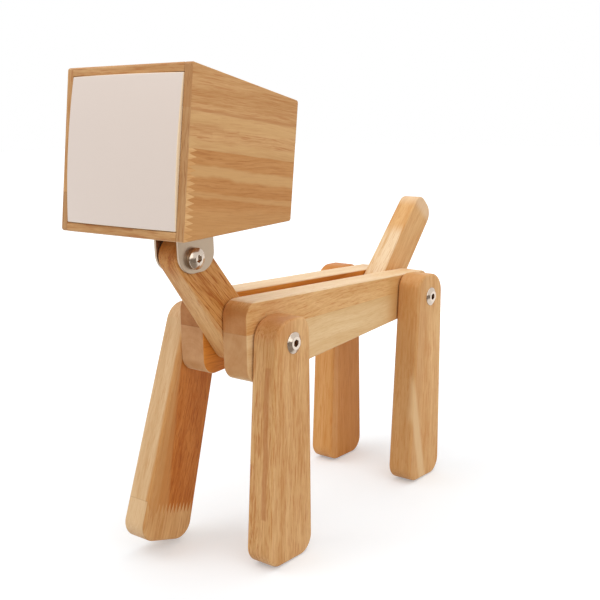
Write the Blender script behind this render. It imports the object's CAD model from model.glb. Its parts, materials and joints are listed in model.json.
import json
import math

import bmesh
import bpy
from mathutils import Matrix, Vector


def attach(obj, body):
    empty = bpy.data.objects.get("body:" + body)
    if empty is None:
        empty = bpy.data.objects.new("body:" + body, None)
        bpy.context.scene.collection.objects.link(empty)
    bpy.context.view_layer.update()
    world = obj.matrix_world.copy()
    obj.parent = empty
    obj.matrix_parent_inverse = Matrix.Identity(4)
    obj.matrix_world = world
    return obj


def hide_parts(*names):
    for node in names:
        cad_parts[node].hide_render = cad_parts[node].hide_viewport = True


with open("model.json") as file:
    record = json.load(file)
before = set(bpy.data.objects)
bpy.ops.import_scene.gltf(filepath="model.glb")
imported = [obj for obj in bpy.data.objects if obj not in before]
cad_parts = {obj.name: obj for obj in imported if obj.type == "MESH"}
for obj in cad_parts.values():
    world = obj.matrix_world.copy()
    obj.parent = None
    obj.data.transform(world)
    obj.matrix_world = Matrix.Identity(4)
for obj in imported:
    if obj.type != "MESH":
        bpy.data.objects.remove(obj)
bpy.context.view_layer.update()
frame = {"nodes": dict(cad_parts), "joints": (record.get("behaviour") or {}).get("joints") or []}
nodes = frame["nodes"]
mm = 0.001

# the joints say where the bolts are
joints = {joint["name"]: joint for joint in frame["joints"]}
frontBolt = Vector(joints["neck_swing"]["pos_m"])
rearBolt = Vector(joints["tail_swing"]["pos_m"])
forkBolt = Vector(joints["head_tilt"]["pos_m"])

# how far each piece leans at rest, in degrees about the x axis
leans = {
    "frontLeft": -2.7, "frontRight": -17.8, "rearLeft": -3.0, "rearRight": -1.8,
    "neck": 39.4, "tail": -41.5, "head": -7.7,
}
# the head in millimetres and degrees, with the fork bolt placed from the middle of the face
headSizes = {
    "boltDepth": 58.5308, "boltHeight": -67.4235,
    "width": 114.5, "height": 108.5, "depth": 105.0, "board": 6.0,
    "topSlope": 5.440, "lowSlope": 8.931,
}


def colour(red, green, blue):
    # screen values from 0 to 255, made linear
    def linear(value):
        value /= 255
        return value / 12.92 if value <= 0.04045 else ((value + 0.055) / 1.055) ** 2.4
    return (linear(red), linear(green), linear(blue), 1.0)


def turned(degrees, axis="X"):
    return Matrix.Rotation(math.radians(degrees), 3, axis)


headTurn = turned(leans["head"])
headOrigin = forkBolt - headTurn @ Vector((0, headSizes["boltDepth"], headSizes["boltHeight"])) * mm
alongY = turned(-90)
alongX = turned(90, "Y")


def feed(tree, socket, value):
    if isinstance(value, bpy.types.NodeSocket):
        tree.links.new(value, socket)
    else:
        socket.default_value = value


def add(tree, kind, inputs, **settings):
    made = tree.nodes.new("ShaderNode" + kind)
    for key, value in settings.items():
        setattr(made, key, value)
    for key, value in inputs.items():
        feed(tree, made.inputs[key], value)
    return made


def calc(tree, operation, *values):
    made = tree.nodes.new("ShaderNodeMath")
    made.operation = operation
    for socket, value in zip(made.inputs, values):
        feed(tree, socket, value)
    return made.outputs[0]


def ease(tree, value, low, high, start=0.0, end=1.0):
    # a smooth step from start to end while value goes from low to high
    made = add(tree, "MapRange", {"Value": value, "From Min": low, "From Max": high,
                                  "To Min": start, "To Max": end},
               interpolation_type="SMOOTHSTEP")
    return made.outputs["Result"]


def blendColours(tree, factor, first, second, kind="MIX"):
    made = tree.nodes.new("ShaderNodeMix")
    made.data_type = "RGBA"
    made.blend_type = kind
    feed(tree, made.inputs[0], factor)
    feed(tree, made.inputs[6], first)
    feed(tree, made.inputs[7], second)
    return made.outputs[2]


def blendValues(tree, factor, first, second):
    made = tree.nodes.new("ShaderNodeMix")
    feed(tree, made.inputs[0], factor)
    feed(tree, made.inputs[2], first)
    feed(tree, made.inputs[3], second)
    return made.outputs[0]


def scaled(tree, value, factors):
    # a place or a colour with each of its parts times its own factor
    return add(tree, "VectorMath", {0: value, 1: factors}, operation="MULTIPLY").outputs[0]


def noise(tree, place, factors, detail=2.0, roughness=0.5):
    # noise over a place in millimetres, with so many features for each millimetre
    made = add(tree, "TexNoise", {"Vector": scaled(tree, place, factors), "Scale": 1.0,
                                  "Detail": detail, "Roughness": roughness})
    return made.outputs[0]


def newGroup(name, inputs, outputs):
    tree = bpy.data.node_groups.new(name, "ShaderNodeTree")
    for label, kind, value in inputs:
        socket = tree.interface.new_socket(name=label, in_out="INPUT",
                                           socket_type="NodeSocket" + kind)
        if value is not None:
            socket.default_value = value
    for label, kind in outputs:
        tree.interface.new_socket(name=label, in_out="OUTPUT", socket_type="NodeSocket" + kind)
    return tree, tree.nodes.new("NodeGroupInput").outputs, tree.nodes.new("NodeGroupOutput").inputs


def placeGroup(tree, group, inputs):
    made = tree.nodes.new("ShaderNodeGroup")
    made.node_tree = group
    for key, value in inputs.items():
        feed(tree, made.inputs[key], value)
    return made.outputs


# the lines of the wood for each millimetre across and along the grain, their detail and roughness
grainLines = {
    "sway": (0.011, 0.009, 1.0, 0.5),
    "ripple": (0.07, 0.035, 1.0, 0.5),
    "broad": (0.09, 0.007, 2.0, 0.5),
    "streaks": (0.62, 0.026, 4.0, 0.66),
    "fibres": (1.5, 0.075, 3.0, 0.6),
    "threads": (0.95, 0.05, 2.0, 0.5),
    "pores": (1.9, 0.14, 1.0, 0.5),
    "wavyEdge": (0.06, 0.035, 2.0, 0.5),
}
# how the lines are drawn and mixed; a pair says from where to where they fade in
grainStyle = {
    "sway": 11.0, "ripple": 1.8,  # how far the lines wander, in millimetres
    "heartAside": 16.0, "heartDepth": 24.0, "heartTurn": 2.4,  # the tree's heart, beside the board
    "ringsAcross": 0.27, "ringsAlong": 0.007, "ringDetail": 3.0, "ringRoughness": 0.62,
    "ringGain": 1.3, "streakGain": 2.2, "fibreGain": 1.4, "bandGain": 2.4,
    "bandShare": 0.3, "contrast": 1.3, "middle": 0.45,
    "threads": (0.54, 0.66), "pores": (0.58, 0.68), "dark": (0.3, 0.8),
    "threadCover": 0.66, "darkCover": 0.7,
    "endFade": 0.75,  # how much weaker the lines are on a cut end
    "rough": 0.4, "streakRough": 0.16, "poreRough": 0.1, "poreHeight": -1.0, "fibreHeight": 0.6,
    "shift": (91.0, 47.0, 133.0),  # how far one step of the seed moves the pattern
}


def drawLines(tree, kind, where):
    wide, long, detail, roughness = grainLines[kind]
    return noise(tree, where, (wide, wide, long), detail, roughness)


def makeWoodGrain():
    # grain along z, all lengths in millimetres
    tree, given, result = newGroup("woodGrain", [
        ("Place", "Vector", None), ("Seed", "Float", 0.0),
        ("Pale", "Color", colour(228, 184, 122)), ("Warm", "Color", colour(200, 146, 82)),
        ("Dark", "Color", colour(150, 92, 42)),
        ("Figure", "Float", 0.5), ("Streaks", "Float", 0.5), ("Pores", "Float", 0.5),
        ("Length", "Float", 1.0), ("Ends", "Float", 0.0)],
        [("Color", "Color"), ("Roughness", "Float"), ("Height", "Float")])

    def shift(vector):
        return add(tree, "VectorMath", {0: given["Seed"], 1: grainStyle["shift"], 2: vector},
                   operation="MULTIPLY_ADD").outputs[0]

    def spread(value, gain):
        return calc(tree, "MULTIPLY", calc(tree, "SUBTRACT", value, 0.5), gain)

    place = shift(given["Place"])
    sway = spread(drawLines(tree, "sway", place), grainStyle["sway"])
    ripple = spread(drawLines(tree, "ripple", place), grainStyle["ripple"])
    split = add(tree, "SeparateXYZ", {0: given["Place"]}).outputs
    swung = calc(tree, "SINE", calc(tree, "MULTIPLY", given["Seed"], grainStyle["heartTurn"]))
    heart = calc(tree, "MULTIPLY", swung, grainStyle["heartAside"])
    across = calc(tree, "ADD", calc(tree, "ADD", split[1], sway), ripple)
    deep = calc(tree, "ADD", split[0], ripple)
    # growth rings round the heart
    ringY = calc(tree, "ADD", across, heart)
    ringX = calc(tree, "ADD", deep, grainStyle["heartDepth"])
    radius = calc(tree, "SQRT", calc(tree, "ADD", calc(tree, "MULTIPLY", ringY, ringY),
                                     calc(tree, "MULTIPLY", ringX, ringX)))
    ringPlace = calc(tree, "MULTIPLY_ADD", split[2], grainStyle["ringsAlong"],
                     calc(tree, "MULTIPLY", radius, grainStyle["ringsAcross"]))
    rings = add(tree, "TexNoise", {"W": calc(tree, "ADD", ringPlace, given["Seed"]), "Scale": 1.0,
                                   "Detail": grainStyle["ringDetail"],
                                   "Roughness": grainStyle["ringRoughness"]},
                noise_dimensions="1D").outputs[0]
    along = calc(tree, "DIVIDE", split[2], given["Length"])
    bent = shift(add(tree, "CombineXYZ", {0: deep, 1: across, 2: along}).outputs[0])
    broad = drawLines(tree, "broad", bent)
    streaks = drawLines(tree, "streaks", bent)
    fibres = drawLines(tree, "fibres", bent)
    threads = ease(tree, drawLines(tree, "threads", bent), *grainStyle["threads"])
    pores = ease(tree, drawLines(tree, "pores", bent), *grainStyle["pores"])
    # seen from the cut end the lines are dots, which the finish evens out
    kept = calc(tree, "MULTIPLY_ADD", given["Ends"], -grainStyle["endFade"], 1.0)
    fine = calc(tree, "MULTIPLY", given["Streaks"], kept)
    toned = calc(tree, "MULTIPLY", spread(rings, grainStyle["ringGain"]), given["Figure"])
    lined = calc(tree, "ADD", spread(streaks, grainStyle["streakGain"]),
                 spread(fibres, grainStyle["fibreGain"]))
    toned = calc(tree, "MULTIPLY_ADD", lined, fine, toned)
    bands = calc(tree, "MULTIPLY", spread(broad, grainStyle["bandGain"]),
                 calc(tree, "ADD", given["Figure"], grainStyle["bandShare"]))
    toned = calc(tree, "ADD", toned, bands)
    factor = calc(tree, "MULTIPLY_ADD", toned, grainStyle["contrast"], grainStyle["middle"])
    factor = add(tree, "Clamp", {"Value": factor}).outputs[0]
    shaded = blendColours(tree, factor, given["Pale"], given["Warm"])
    lines = calc(tree, "MULTIPLY", calc(tree, "MULTIPLY", threads, fine), grainStyle["threadCover"])
    darkest = ease(tree, toned, *grainStyle["dark"], 0.0, grainStyle["darkCover"])
    lines = calc(tree, "MAXIMUM", lines, darkest)
    shaded = blendColours(tree, lines, shaded, given["Dark"])
    dots = calc(tree, "MULTIPLY", pores, calc(tree, "MULTIPLY", given["Pores"], kept))
    shaded = blendColours(tree, dots, shaded, given["Dark"])
    feed(tree, result["Color"], shaded)
    rough = calc(tree, "MULTIPLY_ADD", dots, grainStyle["poreRough"], grainStyle["rough"])
    rough = calc(tree, "MULTIPLY_ADD", streaks, grainStyle["streakRough"], rough)
    feed(tree, result["Roughness"], rough)
    raised = calc(tree, "MULTIPLY", fibres, grainStyle["fibreHeight"])
    raised = calc(tree, "MULTIPLY_ADD", dots, grainStyle["poreHeight"], raised)
    feed(tree, result["Height"], raised)
    return tree


# how sharply one block meets the next, and the thin glue line between them, in millimetres
glueStyle = {"blend": 0.12, "line": 0.45, "tone": colour(144, 84, 38)}


def makeGluedEdge():
    # where a glued block begins: a mask on its side of the seam, and the thin seam itself
    tree, given, result = newGroup("gluedEdge", [("Distance", "Float", 0.0)],
                                   [("Mask", "Float"), ("Seam", "Float")])
    blend = glueStyle["blend"]
    feed(tree, result["Mask"], ease(tree, given["Distance"], -blend, blend))
    away = calc(tree, "ABSOLUTE", given["Distance"])
    feed(tree, result["Seam"], ease(tree, away, 0.0, glueStyle["line"], 1.0, 0.0))
    return tree


metalStyle = {"smears": 0.12, "toneChange": 0.35, "roughChange": 0.3}


def makeBrushedMetal():
    # drawn lines and broad smears change the tone and the roughness
    tree, given, result = newGroup("brushedMetal", [
        ("Place", "Vector", None), ("Base", "Color", colour(200, 196, 188)),
        ("Rough", "Float", 0.2), ("Stretch", "Vector", (1.0, 1.0, 1.0)), ("Change", "Float", 0.5)],
        [("Color", "Color"), ("Roughness", "Float"), ("Height", "Float")])
    lines = noise(tree, scaled(tree, given["Place"], given["Stretch"]), (1.0, 1.0, 1.0), 3.0, 0.6)
    smears = noise(tree, given["Place"], (metalStyle["smears"],) * 3, 2.0)
    both = calc(tree, "MULTIPLY", calc(tree, "SUBTRACT", calc(tree, "ADD", lines, smears), 1.0),
                given["Change"])
    lit = calc(tree, "MULTIPLY_ADD", both, metalStyle["toneChange"], 1.0)
    feed(tree, result["Color"], scaled(tree, given["Base"], lit))
    feed(tree, result["Roughness"], calc(tree, "MULTIPLY_ADD", both, metalStyle["roughChange"],
                                         given["Rough"]))
    feed(tree, result["Height"], lines)
    return tree


mouldStyle = {"broad": 0.02, "broadShare": 0.6, "fineShare": 0.4}


def makeMoulded():
    # a fine grain over broad clouds, both centred on nought
    tree, given, result = newGroup("mouldedSurface", [
        ("Place", "Vector", None), ("Base", "Color", colour(230, 225, 220)),
        ("Rough", "Float", 0.4), ("Grain", "Float", 1.2), ("Change", "Float", 0.1)],
        [("Color", "Color"), ("Roughness", "Float"), ("Height", "Float")])
    fine = add(tree, "TexNoise", {"Vector": given["Place"], "Scale": given["Grain"],
                                  "Detail": 3.0}).outputs[0]
    broad = noise(tree, given["Place"], (mouldStyle["broad"],) * 3, 2.0)
    both = calc(tree, "MULTIPLY_ADD", broad, mouldStyle["broadShare"], -0.5)
    both = calc(tree, "MULTIPLY_ADD", fine, mouldStyle["fineShare"], both)
    lit = calc(tree, "MULTIPLY_ADD", both, given["Change"], 1.0)
    feed(tree, result["Color"], scaled(tree, given["Base"], lit))
    feed(tree, result["Roughness"], calc(tree, "MULTIPLY_ADD", both, given["Change"],
                                         given["Rough"]))
    feed(tree, result["Height"], fine)
    return tree


woodGrain = makeWoodGrain()
gluedEdge = makeGluedEdge()
brushedMetal = makeBrushedMetal()
mouldedSurface = makeMoulded()

# the pale, the warm and the dark tone of each wood, in screen values
woods = {
    "honey": ((227, 180, 123), (202, 145, 84), (184, 108, 50)),
    "gold": ((230, 183, 124), (208, 150, 86), (198, 120, 52)),
    "glow": ((212, 152, 86), (192, 126, 58), (166, 88, 30)),
    "tan": ((214, 166, 112), (188, 133, 78), (174, 100, 48)),
    "clay": ((200, 153, 104), (178, 126, 76), (156, 98, 52)),
    "pale": ((236, 202, 152), (217, 172, 115), (200, 144, 82)),
    "sand": ((232, 196, 150), (215, 172, 122), (206, 146, 90)),
    "cream": ((242, 214, 176), (228, 190, 142), (212, 160, 102)),
    "amber": ((201, 144, 86), (182, 120, 61), (158, 92, 38)),
    "rust": ((206, 130, 58), (186, 104, 34), (160, 80, 18)),
    "ember": ((226, 148, 62), (200, 116, 36), (168, 88, 20)),
}


def newMaterial(name):
    material = bpy.data.materials.new(name)
    material.use_nodes = True
    tree = material.node_tree
    return material, tree, tree.nodes["Principled BSDF"]


def finishSurface(tree, shader, shaded, rough, height, bump, depth=0.1 * mm):
    # what a material shows: its colour, its roughness and its small relief
    feed(tree, shader.inputs["Base Color"], shaded)
    feed(tree, shader.inputs["Roughness"], rough)
    relief = add(tree, "Bump", {"Height": height, "Strength": bump, "Distance": depth})
    feed(tree, shader.inputs["Normal"], relief.outputs[0])


def localPlace(tree, origin, turn):
    # object coordinates as millimetres in the piece's own frame
    seen = tree.nodes.new("ShaderNodeTexCoord")
    return add(tree, "Mapping", {"Vector": seen.outputs["Object"], "Location": origin,
                                 "Rotation": turn.to_euler("XYZ"), "Scale": (mm, mm, mm)},
               vector_type="TEXTURE").outputs[0]


def edgeDistance(tree, place, split, edge):
    # how far inside one edge of a block a point is, in millimetres
    axis, side, at = edge["axis"], edge["side"], edge["at"]
    value = split["xyz".index(axis)]
    if "slope" in edge:
        value = calc(tree, "MULTIPLY_ADD", split[2 if axis != "z" else 1], -edge["slope"], value)
    if "teeth" in edge:
        pitch, length = edge["teeth"]
        comb = calc(tree, "PINGPONG", split[1], pitch / 2)
        value = calc(tree, "MULTIPLY_ADD", comb, -2 * length / pitch, value)
    if "wave" in edge:
        swing = calc(tree, "SUBTRACT", drawLines(tree, "wavyEdge", place), 0.5)
        value = calc(tree, "MULTIPLY_ADD", swing, 2 * edge["wave"], value)
    return calc(tree, "MULTIPLY", calc(tree, "SUBTRACT", value, at), side)


def blockMask(tree, place, split, block):
    inside = None
    for edge in block["edges"]:
        away = edgeDistance(tree, place, split, edge)
        inside = away if inside is None else calc(tree, "MINIMUM", inside, away)
    inside = calc(tree, "DIVIDE", inside, block.get("soft", 1.0))
    return placeGroup(tree, gluedEdge, {"Distance": inside})


# soaked is how much darker a cut end is, and soakTone the colour it is multiplied by
woodFinish = {"soaked": 0.6, "soakTone": colour(200, 144, 84), "endFacing": (0.45, 0.98),
              "specular": 0.22, "bump": 0.25, "relief": 0.2}


def woodMaterial(name, grain):
    material, tree, shader = newMaterial(name)
    place = localPlace(tree, grain["origin"], grain["turn"])
    split = add(tree, "SeparateXYZ", {0: place}).outputs
    shaded, rough, height = None, None, None
    # cut ends drink more of the finish and look darker
    seen = tree.nodes.new("ShaderNodeTexCoord")
    axis = grain["turn"] @ Vector((0, 0, 1))
    facing = add(tree, "VectorMath", {0: seen.outputs["Normal"], 1: axis},
                 operation="DOT_PRODUCT").outputs["Value"]
    ends = ease(tree, calc(tree, "ABSOLUTE", facing), *woodFinish["endFacing"], 0.0,
                grain.get("ends", 1.0))
    crossed = add(tree, "CombineXYZ", {0: split[0], 1: split[2], 2: split[1]}).outputs[0]
    for block in grain["blocks"]:
        if "stain" in block:
            # a paler or darker band that the grain runs through
            cover = calc(tree, "MULTIPLY", blockMask(tree, place, split, block)["Mask"],
                         block["cover"])
            shaded = blendColours(tree, cover, shaded, block["stain"])
            continue
        pale, warm, dark = (colour(*tone) for tone in woods[block["wood"]])
        grown = placeGroup(tree, woodGrain, {
            "Pale": pale, "Warm": warm, "Dark": dark, "Ends": ends, "Seed": block["seed"],
            "Place": crossed if block.get("crossed") else place,
            "Figure": block.get("figure", 0.5), "Streaks": block.get("streaks", 0.6),
            "Pores": block.get("pores", 0.2), "Length": block.get("length", 1.0)})
        if shaded is None:
            shaded, rough, height = grown["Color"], grown["Roughness"], grown["Height"]
            continue
        glued = blockMask(tree, place, split, block)
        shaded = blendColours(tree, glued["Mask"], shaded, grown["Color"])
        seam = calc(tree, "MULTIPLY", glued["Seam"], block.get("seam", 0.35))
        shaded = blendColours(tree, seam, shaded, glueStyle["tone"])
        rough = blendValues(tree, glued["Mask"], rough, grown["Roughness"])
        height = blendValues(tree, glued["Mask"], height, grown["Height"])
    soaked = calc(tree, "MULTIPLY", ends, grain.get("soaked", woodFinish["soaked"]))
    shaded = blendColours(tree, soaked, shaded, woodFinish["soakTone"], "MULTIPLY")
    shader.inputs["Specular IOR Level"].default_value = woodFinish["specular"]
    finishSurface(tree, shader, shaded, rough, height, woodFinish["bump"],
                  woodFinish["relief"] * mm)
    return material


# the key holes of the bolts, in millimetres: first their darker inside, then their edge
keyHole = {
    "face": 57.6, "fade": 0.7, "skin": 0.1,  # the face of a flat head, and how the hole darkens
    "inside": 2.6, "rim": 2.9, "tone": colour(176, 150, 124),
    "reach": 2.8, "deep": 1.5,  # its edge lies this near to the axis and to the end of the bolt
    "width": 0.55, "clear": 3.4,  # edges beyond clear are rounded with the rest of the bolt
}


def recessMask(tree, bolt):
    # one inside a bolt's key hole, which lies along x below the skin of its head
    split = add(tree, "SeparateXYZ", {0: localPlace(tree, bolt, turned(0))}).outputs
    off = calc(tree, "SQRT", calc(tree, "ADD", calc(tree, "MULTIPLY", split[1], split[1]),
                                  calc(tree, "MULTIPLY", split[2], split[2])))
    sunk = ease(tree, calc(tree, "ABSOLUTE", split[0]), keyHole["face"] - keyHole["fade"],
                keyHole["face"] - keyHole["skin"], 1.0, 0.0)
    inside = ease(tree, off, keyHole["inside"], keyHole["rim"], 1.0, 0.0)
    return calc(tree, "MULTIPLY", sunk, inside)


def metalMaterial(name, finish):
    material, tree, shader = newMaterial(name)
    place = localPlace(tree, Vector((0, 0, 0)), turned(0))
    made = placeGroup(tree, brushedMetal, {"Place": place, "Base": finish["base"],
                                           "Rough": finish["rough"],
                                           "Stretch": finish.get("stretch", (1.0, 1.0, 1.0)),
                                           "Change": finish.get("change", 0.5)})
    shaded = made["Color"]
    for bolt in finish.get("keyHoles", []):
        shaded = blendColours(tree, recessMask(tree, bolt), shaded, keyHole["tone"], "MULTIPLY")
    shader.inputs["Metallic"].default_value = 1.0
    finishSurface(tree, shader, shaded, made["Roughness"], made["Height"], finish.get("bump", 0.05))
    return material


def mouldedMaterial(name, finish):
    material, tree, shader = newMaterial(name)
    place = localPlace(tree, Vector((0, 0, 0)), turned(0))
    made = placeGroup(tree, mouldedSurface, {"Place": place, "Base": finish["base"],
                                             "Rough": finish["rough"],
                                             "Change": finish.get("change", 0.1)})
    finishSurface(tree, shader, made["Color"], made["Roughness"], made["Height"], 0.05)
    return material


def dress(piece, material):
    piece.data.materials.clear()
    piece.data.materials.append(material)


def makeActive(piece):
    bpy.ops.object.select_all(action="DESELECT")
    piece.select_set(True)
    bpy.context.view_layer.objects.active = piece


# how near points are merged, and how nearly flat faces are joined, in millimetres and degrees
cleanUp = {"merge": 0.002, "flat": 0.3, "tiny": 0.001, "smooth": 35}


def mergedCopy(nodeName, pieceName):
    # a closed copy of a CAD node, its doubles merged and its flat faces joined
    piece = bpy.data.objects.new(pieceName, nodes[nodeName].data.copy())
    bpy.context.scene.collection.objects.link(piece)
    makeActive(piece)
    bpy.ops.mesh.customdata_custom_splitnormals_clear()
    bpy.ops.object.mode_set(mode="EDIT")
    bpy.ops.mesh.select_all(action="SELECT")
    bpy.ops.mesh.remove_doubles(threshold=cleanUp["merge"] * mm)
    bpy.ops.mesh.dissolve_limited(angle_limit=math.radians(cleanUp["flat"]))
    bpy.ops.object.mode_set(mode="OBJECT")
    return piece


def selectEdges(piece, wanted):
    # selects the edges that are wanted, stays in edit mode and says how many there are
    makeActive(piece)
    bpy.ops.object.mode_set(mode="EDIT")
    bpy.ops.mesh.select_mode(type="EDGE")
    bpy.ops.mesh.select_all(action="DESELECT")
    work = bmesh.from_edit_mesh(piece.data)
    count = 0
    for edge in work.edges:
        if len(edge.link_faces) == 2 and wanted(edge):
            edge.select = True
            count += 1
    bmesh.update_edit_mesh(piece.data)
    return count


def roundEdges(piece, width, segments, wanted):
    if selectEdges(piece, wanted):
        bpy.ops.mesh.bevel(offset=width * mm, offset_type="OFFSET", segments=segments, profile=0.5,
                           affect="EDGES", clamp_overlap=False)
    bpy.ops.object.mode_set(mode="OBJECT")


def sharpEdge(edge, degrees=50):
    return edge.calc_face_angle() > math.radians(degrees)


def awayFrom(edge, bolts, reach):
    # true where both ends of an edge are further than reach from each bolt, seen from the side
    return all(math.hypot(vert.co.y - bolt.y, vert.co.z - bolt.z) >= reach * mm
               for bolt in bolts for vert in edge.verts)


def finishShading(piece):
    # bevels that end at a corner can leave faces of no size, which go first
    makeActive(piece)
    bpy.ops.object.mode_set(mode="EDIT")
    bpy.ops.mesh.select_all(action="SELECT")
    bpy.ops.mesh.remove_doubles(threshold=cleanUp["tiny"] * mm)
    bpy.ops.mesh.dissolve_degenerate(threshold=cleanUp["tiny"] * mm)
    bpy.ops.object.mode_set(mode="OBJECT")
    bpy.ops.object.shade_smooth_by_angle(angle=math.radians(cleanUp["smooth"]))
    weighted = piece.modifiers.new("weightedNormal", "WEIGHTED_NORMAL")
    weighted.keep_sharp = True
    bpy.ops.object.modifier_apply(modifier=weighted.name)


def standIn(piece, nodeName, body):
    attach(piece, body)
    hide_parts(nodeName)


# the camera of the photo: its place in millimetres and its angles in radians
view = {
    "place": (451.686, -585.671, 332.546), "yaw": 0.658, "pitch": -0.2072, "roll": -0.0168,
    "lens": 55.593, "sensor": 36.0, "nearest": 0.01,
}
ahead = Vector((-math.sin(view["yaw"]) * math.cos(view["pitch"]),
                math.cos(view["yaw"]) * math.cos(view["pitch"]), math.sin(view["pitch"])))
level = Vector((math.cos(view["yaw"]), math.sin(view["yaw"]), 0))
upright = level.cross(ahead)
rightward = level * math.cos(view["roll"]) + upright * math.sin(view["roll"])
upward = upright * math.cos(view["roll"]) - level * math.sin(view["roll"])
lens = bpy.data.cameras.new("camera")
lens.lens = view["lens"]
lens.sensor_width = view["sensor"]
lens.clip_start = view["nearest"]
cameraObject = bpy.data.objects.new("camera", lens)
bpy.context.scene.collection.objects.link(cameraObject)
placed = Matrix((rightward, upward, -ahead)).transposed().to_4x4()
placed.translation = Vector(view["place"]) * mm
cameraObject.matrix_world = placed
bpy.context.scene.camera = cameraObject
bpy.context.scene.view_settings.view_transform = "Standard"

# soft lamps, in metres and watts, all turned to the middle of the object
target = Vector((0, 0, 0.17))
lamps = {
    "key": {"place": (-0.9, -0.9, 1.5), "size": 1.2, "energy": 8.0},
    "fill": {"place": (1.4, -0.5, 0.9), "size": 1.4, "energy": 6.0},
    "over": {"place": (0.1, 0.2, 1.7), "size": 1.4, "energy": 9.0},
}
for name, lamp in lamps.items():
    light = bpy.data.lights.new(name, "AREA")
    light.size = lamp["size"]
    light.energy = lamp["energy"]
    lightObject = bpy.data.objects.new(name, light)
    lightObject.location = lamp["place"]
    direction = target - Vector(lamp["place"])
    lightObject.rotation_euler = direction.to_track_quat("-Z", "Y").to_euler()
    bpy.context.scene.collection.objects.link(lightObject)

# the world is white where it is seen, and lights the object less
worldStyle = {"seen": 1.0, "light": 0.6}
surround = bpy.data.worlds.new("studio")
surround.use_nodes = True
bpy.context.scene.world = surround
tree = surround.node_tree
background = tree.nodes["Background"]
rays = tree.nodes.new("ShaderNodeLightPath")
direct = calc(tree, "MAXIMUM", rays.outputs["Is Camera Ray"],
              calc(tree, "MAXIMUM", rays.outputs["Is Glossy Ray"],
                   rays.outputs["Is Transmission Ray"]))
background.inputs["Color"].default_value = (1.0, 1.0, 1.0, 1.0)
strength = calc(tree, "MULTIPLY_ADD", direct, worldStyle["seen"] - worldStyle["light"],
                worldStyle["light"])
feed(tree, background.inputs["Strength"], strength)

# the floor glows towards white away from the object, and metal sees a dark patch in it, in metres
floorStyle = {
    "size": 12, "tone": (0.79, 0.82, 0.845, 1.0), "rough": 0.9, "specular": 0.1,
    "near": 0.18, "far": 0.8, "nearGlow": 0.28, "farGlow": 0.64,
    "patch": (0.42, -0.22, 0.0), "patchTone": (0.34, 0.3, 0.26, 1.0),
    "patchInside": 0.3, "patchRim": 0.4,
}
bpy.ops.object.select_all(action="DESELECT")
bpy.ops.mesh.primitive_plane_add(size=floorStyle["size"])
floor = bpy.context.object
floor.name = "floor"
floorMaterial, tree, shader = newMaterial("whiteFloor")
shader.inputs["Roughness"].default_value = floorStyle["rough"]
shader.inputs["Specular IOR Level"].default_value = floorStyle["specular"]
rays = tree.nodes.new("ShaderNodeLightPath")
shader.inputs["Emission Color"].default_value = (1.0, 1.0, 1.0, 1.0)
seenPlace = tree.nodes.new("ShaderNodeTexCoord").outputs["Object"]
patch = add(tree, "VectorMath", {0: seenPlace, 1: floorStyle["patch"]}, operation="DISTANCE")
patch = ease(tree, patch.outputs["Value"], floorStyle["patchInside"], floorStyle["patchRim"],
             1.0, 0.0)
patch = calc(tree, "MULTIPLY", patch, rays.outputs["Is Glossy Ray"])
feed(tree, shader.inputs["Base Color"],
     blendColours(tree, patch, floorStyle["tone"], floorStyle["patchTone"]))
seenDirect = calc(tree, "MAXIMUM", rays.outputs["Is Camera Ray"],
                  calc(tree, "SUBTRACT", rays.outputs["Is Glossy Ray"], patch))
reach = add(tree, "VectorMath", {0: seenPlace}, operation="LENGTH").outputs["Value"]
glow = ease(tree, reach, floorStyle["near"], floorStyle["far"], floorStyle["nearGlow"],
            floorStyle["farGlow"])
feed(tree, shader.inputs["Emission Strength"], calc(tree, "MULTIPLY", seenDirect, glow))
# from below the floor is clear, so that the underside can be looked at
clear = tree.nodes.new("ShaderNodeBsdfTransparent")
sides = add(tree, "MixShader", {0: tree.nodes.new("ShaderNodeNewGeometry").outputs["Backfacing"],
                                1: shader.outputs[0], 2: clear.outputs[0]})
feed(tree, tree.nodes["Material Output"].inputs["Surface"], sides.outputs[0])
dress(floor, floorMaterial)

# dark cards beside the lamp, seen only in the metal
cardStyle = {"tone": (0.3, 0.26, 0.22, 1.0), "rough": 0.8}
cards = {
    "sideCard": {"place": (0.5, -0.25, 0.11), "turn": (0, math.radians(90), 0),
                 "size": (0.2, 0.9)},
    "frontCard": {"place": (0.15, -0.75, 0.12), "turn": (math.radians(90), 0, 0),
                  "size": (0.7, 0.22)},
}
cardMaterial, tree, shader = newMaterial("darkCard")
shader.inputs["Base Color"].default_value = cardStyle["tone"]
shader.inputs["Roughness"].default_value = cardStyle["rough"]
for name, card in cards.items():
    bpy.ops.mesh.primitive_plane_add(size=1, location=card["place"], rotation=card["turn"])
    flag = bpy.context.object
    flag.name = name
    flag.scale = (*card["size"], 1)
    flag.visible_camera = False
    flag.visible_diffuse = False
    flag.visible_shadow = False
    flag.visible_transmission = False
    dress(flag, cardMaterial)
print("camera, light and floor ready")


def strip(axis, side, at, **more):
    # one edge of a block of wood: the block lies on that side of a place on the axis
    return {"axis": axis, "side": side, "at": at, **more}


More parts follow.
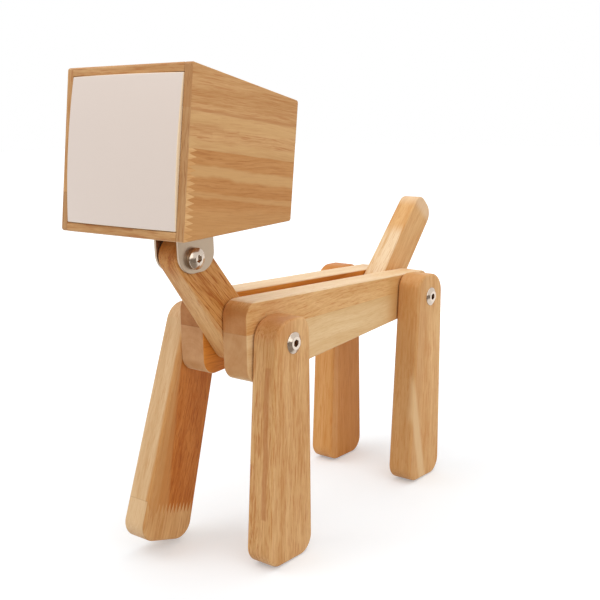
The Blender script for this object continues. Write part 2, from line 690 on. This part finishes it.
boreReach = 7  # edges nearer to a bolt's axis are its bore's and stay sharp, in millimetres
plankStyle = {"arris": 1.3, "segments": 4, "soaked": 0.6}
topEdge = {"at": -24.0, "slope": 0.0533}  # the sloping top of a plank, a little under its skin
plankBlocks = {
    "body_side_left": [
        {"wood": "gold", "seed": 3.1, "figure": 0.2, "streaks": 0.75, "length": 0.6},
        {"wood": "pale", "seed": 5.7, "figure": 0.3, "streaks": 0.3, "seam": 0.12,
         "edges": [strip("y", 1, -5.3, slope=0.0163)]},
        {"stain": colour(206, 152, 88), "cover": 0.8, "soft": 90.0,
         "edges": [strip("z", 1, 84.0), strip("y", 1, -16.0)]},
        {"wood": "cream", "seed": 6.3, "figure": 0.2, "streaks": 0.5, "soft": 3.0, "seam": 0.0,
         "edges": [strip("y", -1, **topEdge)]},
    ],
    "body_side_right": [
        {"wood": "tan", "seed": 8.3, "figure": 0.5},
        {"wood": "sand", "seed": 9.9, "figure": 0.5,
         "edges": [strip("y", 1, -6.0, slope=0.012)]},
        {"wood": "ember", "seed": 10.7, "figure": 0.5, "seam": 0.0,
         "edges": [strip("x", 1, -10.2)]},
        {"wood": "cream", "seed": 7.9, "figure": 0.1, "streaks": 0.4, "soft": 3.0, "seam": 0.0,
         "edges": [strip("y", -1, **topEdge)]},
    ],
}
for nodeName, blocks in plankBlocks.items():
    side = "Left" if nodeName.endswith("left") else "Right"
    plank = mergedCopy(nodeName, "sidePlank" + side)
    roundEdges(plank, plankStyle["arris"], plankStyle["segments"],
               lambda edge: sharpEdge(edge) and awayFrom(edge, (frontBolt, rearBolt), boreReach))
    finishShading(plank)
    grain = {"origin": Vector((0, 0, frontBolt.z)), "turn": alongY, "blocks": blocks,
             "soaked": plankStyle["soaked"]}
    dress(plank, woodMaterial("plankWood" + side, grain))
    standIn(plank, nodeName, "trunk")
print("planks ready")

legStyle = {"arris": 2.4, "segments": 5, "soaked": 0.3}
paleEnds = {"rear_left_leg": 0.1}  # a leg whose cut ends are hardly darker
legBlocks = {
    "front_left_leg": [
        {"wood": "honey", "seed": 11.3, "figure": 0.35, "streaks": 0.75, "length": 0.8},
        {"wood": "honey", "seed": 12.1, "figure": 0.5, "streaks": 1.0, "length": 0.8, "soft": 18.0,
         "seam": 0.0, "edges": [strip("x", -1, 46.0, wave=3.0)]},
        {"stain": colour(178, 106, 54), "cover": 0.5, "soft": 7.0,
         "edges": [strip("x", 1, 46.0, wave=2.5), strip("x", -1, 50.2, wave=2.5),
                   strip("z", -1, -16.0), strip("z", 1, -128.0), strip("y", -1, -8.0)]},
        {"stain": colour(194, 120, 60), "cover": 0.3, "soft": 50.0,
         "edges": [strip("z", 1, 3.0), strip("y", -1, 0.0)]},
    ],
    "front_right_leg": [
        {"wood": "honey", "seed": 14.7, "figure": 0.4, "streaks": 0.9, "length": 0.8},
        {"wood": "sand", "seed": 13.1, "figure": 0.25, "streaks": 0.6, "soft": 8.0, "seam": 0.0,
         "edges": [strip("x", -1, -36.5, wave=2.0), strip("y", -1, -4.0, slope=0.041)]},
        {"wood": "rust", "seed": 15.9, "figure": 0.5, "streaks": 0.9, "length": 0.5, "soft": 10.0,
         "seam": 0.0, "edges": [strip("y", 1, -17.5, slope=-0.02), strip("x", 1, -37.0)]},
        {"stain": colour(204, 144, 82), "cover": 0.7, "soft": 14.0,
         "edges": [strip("y", -1, -21.2, slope=-0.121, wave=2.0), strip("x", 1, -37.0)]},
        {"wood": "honey", "seed": 16.5, "figure": 0.3, "streaks": 0.6, "seam": 0.05,
         "edges": [strip("z", -1, -145.0, teeth=(3.8, 8.5)), strip("x", 1, -35.5)]},
        {"wood": "sand", "seed": 17.3, "figure": 0.2, "streaks": 0.4, "seam": 0.3,
         "edges": [strip("z", -1, -135.5), strip("x", -1, -35.0)]},
    ],
    "rear_left_leg": [
        {"wood": "gold", "seed": 18.9, "figure": 0.4, "streaks": 0.7, "length": 0.8},
        {"stain": colour(198, 140, 82), "cover": 0.5, "soft": 60.0,
         "edges": [strip("y", -1, -4.0, slope=0.06, wave=4.0)]},
        {"stain": colour(236, 200, 150), "cover": 0.6, "soft": 20.0,
         "edges": [strip("y", -1, -41.0, slope=-0.26), strip("y", 1, -52.0, slope=-0.26),
                   strip("x", 1, 51.0)]},
    ],
    "rear_right_leg": [
        {"wood": "gold", "seed": 22.7, "figure": 0.3, "streaks": 0.7},
        {"wood": "glow", "seed": 23.9, "figure": 0.3, "streaks": 0.7, "soft": 12.0, "seam": 0.0,
         "edges": [strip("y", 1, -14.0)]},
        {"stain": colour(222, 144, 60), "cover": 0.4, "edges": [strip("y", 1, -40.0)]},
    ],
}
for nodeName, blocks in legBlocks.items():
    end, side = nodeName.split("_")[0], nodeName.split("_")[1].capitalize()
    bolt = frontBolt if end == "front" else rearBolt
    leg = mergedCopy(nodeName, end + side + "Leg")
    roundEdges(leg, legStyle["arris"], legStyle["segments"],
               lambda edge: sharpEdge(edge) and awayFrom(edge, (bolt,), boreReach))
    finishShading(leg)
    grain = {"origin": bolt, "turn": turned(leans[end + side]), "blocks": blocks,
             "soaked": paleEnds.get(nodeName, legStyle["soaked"])}
    dress(leg, woodMaterial(end + side + "LegWood", grain))
    standIn(leg, nodeName, nodeName + "_body")
print("legs ready")

barStyle = {"arris": 1.5, "segments": 4, "soaked": 0.3}
bars = {
    "neck": {"body": "neck_bar", "slot": "warm_wood", "bolts": (frontBolt, forkBolt),
             "origin": frontBolt, "turn": leans["neck"], "blocks": [
                 {"wood": "glow", "seed": 25.1, "figure": 0.9, "streaks": 1.4, "pores": 0.4},
                 {"wood": "honey", "seed": 26.9, "figure": 0.3, "streaks": 0.7, "soft": 4.0,
                  "seam": 0.0, "edges": [strip("y", -1, -14.0)]},
             ]},
    "tail": {"body": "tail_bar", "slot": "pale_wood", "bolts": (rearBolt,),
             "origin": rearBolt, "turn": leans["tail"], "blocks": [
                 {"wood": "gold", "seed": 29.7, "figure": 0.3, "streaks": 0.5},
                 {"wood": "cream", "seed": 28.3, "figure": 0.4, "streaks": 0.9, "soft": 4.0,
                  "seam": 0.0, "edges": [strip("y", -1, -14.0)]},
                 {"stain": colour(240, 212, 178), "cover": 0.5, "soft": 40.0,
                  "edges": [strip("z", 1, 90.0)]},
             ]},
}
for nodeName, bar in bars.items():
    piece = mergedCopy(nodeName, nodeName + "Bar")
    roundEdges(piece, barStyle["arris"], barStyle["segments"],
               lambda edge: sharpEdge(edge) and awayFrom(edge, bar["bolts"], boreReach))
    finishShading(piece)
    grain = {"origin": bar["origin"], "turn": turned(bar["turn"]), "blocks": bar["blocks"],
             "soaked": barStyle["soaked"]}
    dress(piece, woodMaterial(nodeName + "Wood", grain))
    standIn(piece, nodeName, bar["body"])
print("neck and tail ready")

boardStyle = {
    "arris": 1.0, "segments": 3, "corner": 2.0, "cornerSegments": 6,
    "inner": 0.4, "innerSegments": 2, "shortEdge": 12, "longEdge": 50,
}
bandPale, bandDark = colour(214, 170, 114), colour(178, 116, 66)
lowBlock = strip("y", 1, -3.0, slope=0.008, wave=0.8)
headBoards = {
    "head_left": {"turn": headTurn @ alongY, "blocks": [
        {"wood": "tan", "seed": 31.1, "figure": 0.3, "streaks": 0.65, "length": 1.2},
        {"stain": bandPale, "cover": 0.5, "soft": 18.0,
         "edges": [strip("y", 1, -26.0, wave=1.2), strip("y", -1, -18.0, wave=3.0)]},
        {"stain": bandDark, "cover": 0.5, "soft": 5.0,
         "edges": [strip("y", 1, -27.4, wave=1.2), strip("y", -1, -25.6, wave=1.2)]},
        {"stain": bandDark, "cover": 0.25, "soft": 12.0,
         "edges": [strip("y", 1, -18.8, wave=3.5), strip("y", -1, -16.2, wave=3.5),
                   strip("z", 1, 4.0), strip("z", -1, 31.0)]},
        {"stain": bandDark, "cover": 0.3, "soft": 9.0,
         "edges": [strip("y", 1, -14.2, wave=3.5), strip("y", -1, -12.2, wave=3.5),
                   strip("z", 1, 10.0), strip("z", -1, 21.0)]},
        {"stain": bandPale, "cover": 0.45, "soft": 7.0,
         "edges": [strip("y", 1, -16.4, slope=-0.035, wave=2.0),
                   strip("y", -1, -13.6, slope=-0.035, wave=2.0), strip("z", 1, 46.0)]},
        {"stain": bandPale, "cover": 0.5, "soft": 12.0,
         "edges": [strip("y", 1, -8.6, wave=2.5), strip("y", -1, -2.0, wave=1.0)]},
        {"wood": "amber", "seed": 32.7, "figure": 0.25, "streaks": 0.5, "length": 1.1,
         "edges": [lowBlock], "seam": 0.05},
        {"stain": bandPale, "cover": 0.62, "soft": 12.0,
         "edges": [strip("y", 1, 6.7, slope=0.022, wave=3.0),
                   strip("y", -1, 14.0, slope=0.022, wave=3.5)]},
        {"stain": bandPale, "cover": 0.36, "soft": 7.0,
         "edges": [strip("y", 1, 22.4, slope=0.025, wave=3.0),
                   strip("y", -1, 25.0, slope=0.04, wave=2.0)]},
        {"stain": colour(204, 156, 100), "cover": 0.35, "soft": 24.0,
         "edges": [strip("y", 1, 34.0, wave=4.0)]},
        {"wood": "honey", "seed": 33.9, "figure": 0.3, "streaks": 0.5, "seam": 0.05,
         "edges": [lowBlock, strip("z", -1, 1.6, teeth=(4.0, 6.8))]},
        {"stain": bandPale, "cover": 0.5,
         "edges": [strip("y", 1, -10.5), strip("y", -1, -3.0),
                   strip("z", -1, 1.6, teeth=(4.0, 6.8))]},
        {"wood": "clay", "seed": 34.3, "figure": 0.5, "streaks": 0.8, "crossed": True,
         "seam": 0.1, "edges": [strip("z", -1, 1.0)]},
        {"stain": colour(180, 124, 72), "cover": 0.5, "soft": 2.0,
         "edges": [strip("z", -1, 1.0), strip("y", -1, -27.0)]},
    ]},
    "head_right": {"turn": headTurn @ alongY, "blocks": [
        {"wood": "tan", "seed": 35.3, "figure": 0.8, "streaks": 0.6, "length": 1.5},
        {"wood": "honey", "seed": 36.1, "figure": 0.6, "streaks": 0.8,
         "edges": [strip("y", 1, 18.0, wave=0.5)], "length": 1.5},
        {"wood": "clay", "seed": 36.7, "figure": 0.3, "streaks": 0.8, "crossed": True,
         "seam": 0.1, "edges": [strip("z", -1, 1.0)]},
        {"wood": "tan", "seed": 37.1, "figure": 0.3, "streaks": 0.8, "crossed": True,
         "edges": [strip("z", -1, 1.0), strip("y", -1, 28.0)], "seam": 0.3},
    ]},
    "head_top": {"turn": headTurn @ alongX, "blocks": [
        {"wood": "tan", "seed": 37.7, "figure": 0.6, "streaks": 0.7},
        {"wood": "amber", "seed": 38.9, "figure": 0.6, "streaks": 0.7,
         "edges": [strip("y", 1, 52.0)]},
    ]},
    "head_bottom": {"turn": headTurn @ alongX, "blocks": [
        {"wood": "tan", "seed": 40.3, "figure": 0.6, "streaks": 0.9},
        {"wood": "amber", "seed": 41.1, "figure": 0.6, "streaks": 0.7,
         "edges": [strip("y", 1, 48.0)]},
    ]},
    "head_back": {"turn": headTurn @ alongX, "blocks": [
        {"wood": "honey", "seed": 43.3, "figure": 0.8, "streaks": 0.7},
        {"wood": "pale", "seed": 44.1, "figure": 0.6, "streaks": 0.7,
         "edges": [strip("x", 1, 4.0)]},
    ]},
}


def inHead(point):
    # a point's sideways place, depth and height in the head's own frame, in millimetres
    return headTurn.inverted() @ (point - headOrigin) / mm


def headEdge(edge, wanted):
    return all(wanted(inHead(vert.co)) for vert in edge.verts)


outer = headSizes["width"] / 2
inner = outer - headSizes["board"]
halfHigh = headSizes["height"] / 2
near = 0.1  # how closely a point has to lie on a face, in millimetres
within = halfHigh - 1  # a millimetre inside the outline, so that the outer edges are left out


def skinSlope(place):
    # how steeply the board above or below a place slopes towards the back
    return math.tan(math.radians(headSizes["topSlope" if place.z > 0 else "lowSlope"]))


def outerFace(edge):
    return sharpEdge(edge) and headEdge(edge, lambda place: abs(abs(place.x) - outer) < near)


def innerFront(edge):
    return sharpEdge(edge) and headEdge(
        edge, lambda place: place.y < near and abs(place.z) < within
        and abs(abs(place.x) - inner) < near)


def longerThan(edge, length):
    return edge.calc_length() > length * mm


def outerRail(edge):
    # the long outer edges of the top and bottom boards, at the face and at the back
    def onRail(place):
        atEnd = place.y < near or place.y > headSizes["depth"] - near
        return atEnd and abs(place.z) > halfHigh - place.y * skinSlope(place) - near
    return longerThan(edge, boardStyle["longEdge"]) and headEdge(edge, onRail)


def innerRail(edge):
    return longerThan(edge, boardStyle["longEdge"]) and headEdge(
        edge, lambda place: place.y < near and abs(place.z) < within)


def backRim(edge):
    return sharpEdge(edge) and longerThan(edge, boardStyle["shortEdge"])


for nodeName, board in headBoards.items():
    piece = mergedCopy(nodeName, "headBoard" + nodeName.split("_")[1].capitalize())
    if nodeName in ("head_left", "head_right"):
        roundEdges(piece, boardStyle["arris"], boardStyle["segments"], outerFace)
        innerEdge = innerFront
    elif nodeName in ("head_top", "head_bottom"):
        roundEdges(piece, boardStyle["corner"], boardStyle["cornerSegments"], outerRail)
        innerEdge = innerRail
    else:
        innerEdge = backRim
    roundEdges(piece, boardStyle["inner"], boardStyle["innerSegments"], innerEdge)
    finishShading(piece)
    grain = {"origin": headOrigin, "turn": board["turn"], "blocks": board["blocks"],
             "ends": 0.0 if nodeName in ("head_left", "head_right") else 1.0}
    dress(piece, woodMaterial(piece.name + "Wood", grain))
    standIn(piece, nodeName, "head")
print("head boards ready")

# the milky light panel: a shallow dome with a skirt that follows the boards
panelStyle = {
    "across": 50.95, "low": -47.876, "top": 47.923, "rise": 5.0, "radius": 500.0,
    "skirt": 10.0, "wall": 2.0, "cells": 36, "edge": 0.7, "edgeSegments": 3, "edgeAngle": 30,
    "tone": colour(232, 215, 203), "rough": 0.34, "grain": 0.6, "change": 0.03, "bump": 0.02,
    "rimTone": colour(250, 224, 184), "rim": (0.1, 0.7), "rimCover": 0.9,
}
bpy.ops.object.select_all(action="DESELECT")
bpy.ops.mesh.primitive_grid_add(x_subdivisions=panelStyle["cells"],
                                y_subdivisions=panelStyle["cells"], size=1)
panel = bpy.context.object
panel.name = "lightPanel"


def headPoint(x, depth, height):
    return headOrigin + headTurn @ Vector((x, depth, height)) * mm


for vert in panel.data.vertices:
    x = vert.co.x * 2 * panelStyle["across"]
    height = panelStyle["low"] + (vert.co.y + 0.5) * (panelStyle["top"] - panelStyle["low"])
    bulge = panelStyle["radius"] - math.sqrt(panelStyle["radius"] ** 2 - x * x - height * height)
    vert.co = headPoint(x, bulge - panelStyle["rise"], height)
bpy.ops.object.mode_set(mode="EDIT")
bpy.ops.mesh.select_mode(type="EDGE")
bpy.ops.mesh.select_all(action="DESELECT")
bpy.ops.mesh.select_non_manifold()
bpy.ops.mesh.extrude_region_move()
work = bmesh.from_edit_mesh(panel.data)
for vert in work.verts:
    if vert.select:
        place = inHead(vert.co)
        shrink = panelStyle["skirt"] * skinSlope(place) / panelStyle["top"]
        vert.co = headPoint(place.x, panelStyle["skirt"], place.z * (1 - shrink))
bmesh.update_edit_mesh(panel.data)
bpy.ops.object.mode_set(mode="OBJECT")
roundEdges(panel, panelStyle["edge"], panelStyle["edgeSegments"],
           lambda edge: sharpEdge(edge, panelStyle["edgeAngle"]))
thicken = panel.modifiers.new("wall", "SOLIDIFY")
thicken.thickness = panelStyle["wall"] * mm
thicken.offset = -1
bpy.ops.object.modifier_apply(modifier=thicken.name)
bpy.ops.object.mode_set(mode="EDIT")
bpy.ops.mesh.select_all(action="SELECT")
bpy.ops.mesh.normals_make_consistent(inside=False)
bpy.ops.object.mode_set(mode="OBJECT")
finishShading(panel)


def panelMaterial():
    material, tree, shader = newMaterial("milkyPanel")
    place = localPlace(tree, headOrigin, headTurn)
    made = placeGroup(tree, mouldedSurface, {
        "Place": place, "Base": panelStyle["tone"], "Rough": panelStyle["rough"],
        "Grain": panelStyle["grain"], "Change": panelStyle["change"]})
    split = add(tree, "SeparateXYZ", {0: place}).outputs
    # light from the wood makes a warm line round the rim
    aside = calc(tree, "SUBTRACT", panelStyle["across"], calc(tree, "ABSOLUTE", split[0]))
    above = calc(tree, "SUBTRACT", panelStyle["top"], calc(tree, "ABSOLUTE", split[2]))
    rim = ease(tree, calc(tree, "MINIMUM", aside, above), *panelStyle["rim"],
               panelStyle["rimCover"], 0.0)
    shaded = blendColours(tree, rim, made["Color"], panelStyle["rimTone"])
    finishSurface(tree, shader, shaded, made["Roughness"], made["Height"], panelStyle["bump"])
    return material


dress(panel, panelMaterial())
standIn(panel, "light_panel", "head")
print("light panel ready")

nickel = metalMaterial("polishedNickel", {"base": colour(206, 190, 174), "rough": 0.16,
                                          "stretch": (2.0, 0.4, 0.4), "change": 0.4,
                                          "keyHoles": (frontBolt, rearBolt)})
satin = metalMaterial("satinNickel", {"base": colour(184, 164, 142), "rough": 0.42,
                                      "stretch": (0.4, 6.0, 0.4), "change": 0.6, "bump": 0.1})
zinc = metalMaterial("zincScrew", {"base": colour(190, 190, 186), "rough": 0.3})
aluminium = metalMaterial("bareAluminium", {"base": colour(206, 208, 210), "rough": 0.35,
                                            "stretch": (0.2, 4.0, 4.0)})
nylon = mouldedMaterial("whiteNylon", {"base": colour(226, 224, 218), "rough": 0.5})
whiteBoard = mouldedMaterial("whiteBoard", {"base": colour(232, 232, 228), "rough": 0.45})
greenBoard = mouldedMaterial("greenBoard", {"base": colour(38, 104, 62), "rough": 0.4,
                                            "change": 0.3})
lightChip = mouldedMaterial("lightChip", {"base": colour(238, 218, 104), "rough": 0.5})
blackPlastic = mouldedMaterial("blackPlastic", {"base": colour(34, 34, 36), "rough": 0.42,
                                                "change": 0.4})
redLead = mouldedMaterial("redLead", {"base": colour(162, 44, 36), "rough": 0.45})
blockWood = woodMaterial("blockWood", {
    "origin": headOrigin, "turn": headTurn @ alongY,
    "blocks": [{"wood": "pale", "seed": 46.0, "figure": 0.5, "streaks": 0.6}]})

carriedOver = {
    "leg_washers": nylon, "bar_washers": nylon, "fork_washers": nylon,
    "fork_screws": zinc, "fork_screw_nuts": zinc, "plate_screws": zinc,
    "back_blocks": blockWood, "plate_blocks": blockWood, "ledge_strips": blockWood,
    "light_plate": aluminium, "board_spacers": aluminium,
    "light_board": whiteBoard, "light_chips": lightChip, "control_board": greenBoard,
    "control_parts": blackPlastic, "inner_leads": redLead, "inlet_socket": blackPlastic,
    "inlet_pin": nickel, "inlet_nut": nickel, "switch_body": satin, "switch_nut": nickel,
    "switch_button": nickel,
}
for nodeName, material in carriedOver.items():
    dress(nodes[nodeName], material)

edgeStyle = {"segments": 2, "angle": 25}  # how the metal's edges are rounded
fittings = {
    "through_bolts": {"piece": "throughBolts", "body": "trunk", "width": 0.25, "material": nickel,
                      "keyHoles": (frontBolt, rearBolt)},
    "sleeve_nuts": {"piece": "sleeveNuts", "body": "trunk", "width": 0.25, "material": nickel,
                    "keyHoles": (frontBolt, rearBolt)},
    "fork_bolt": {"piece": "forkBolt", "body": "head", "width": 0.3, "material": nickel,
                  "keyHoles": (forkBolt,)},
    "fork_nut": {"piece": "forkNut", "body": "head", "width": 0.3, "material": nickel},
    "fork": {"piece": "forkSheet", "body": "head", "width": 0.35, "material": satin},
}


def keyEdge(edge, keyHoles, reached):
    # the edge of a key hole where it opens in the bolt's head
    return (sharpEdge(edge) and not awayFrom(edge, keyHoles, keyHole["reach"])
            and all(abs(vert.co.x) > reached for vert in edge.verts))


for nodeName, fitting in fittings.items():
    piece = mergedCopy(nodeName, fitting["piece"])
    keyHoles = fitting.get("keyHoles", ())
    reached = max(abs(vert.co.x) for vert in piece.data.vertices) - keyHole["deep"] * mm
    roundEdges(piece, keyHole["width"], edgeStyle["segments"],
               lambda edge: keyEdge(edge, keyHoles, reached))
    roundEdges(piece, fitting["width"], edgeStyle["segments"],
               lambda edge: sharpEdge(edge, edgeStyle["angle"])
               and awayFrom(edge, keyHoles, keyHole["clear"]))
    finishShading(piece)
    dress(piece, fitting["material"])
    standIn(piece, nodeName, fitting["body"])

# the screws of the back board get their cross recesses, cut with two bars for each head
crossStyle = {"length": 3.4, "width": 0.9, "depths": (1.2, 1.1)}  # floors apart keep it closed
screws = mergedCopy("back_screws", "backScrews")
heads = {}
for vert in screws.data.vertices:
    place = inHead(vert.co)
    heads.setdefault((place.x > 0, place.z > 0), []).append(place)
cutters = []
for places in heads.values():
    outside = max(place.y for place in places)
    centre = [sum(limit(place[axis] for place in places) for limit in (min, max)) / 2
              for axis in (0, 2)]
    length, width = crossStyle["length"], crossStyle["width"]
    for wide, high, deep in zip((length, width), (width, length), crossStyle["depths"]):
        bpy.ops.object.select_all(action="DESELECT")
        bpy.ops.mesh.primitive_cube_add(size=1)
        cutter = bpy.context.object
        for vert in cutter.data.vertices:
            vert.co = headPoint(centre[0] + vert.co.x * wide, outside + vert.co.y * 2 * deep,
                                centre[1] + vert.co.z * high)
        cutters.append(cutter)
for cutter in cutters:
    makeActive(screws)
    cut = screws.modifiers.new("cross", "BOOLEAN")
    cut.operation = "DIFFERENCE"
    cut.solver = "EXACT"
    cut.object = cutter
    bpy.ops.object.modifier_apply(modifier=cut.name)
    bpy.data.objects.remove(cutter)
finishShading(screws)
dress(screws, zinc)
standIn(screws, "back_screws", "head")
print("carried-over pieces dressed")
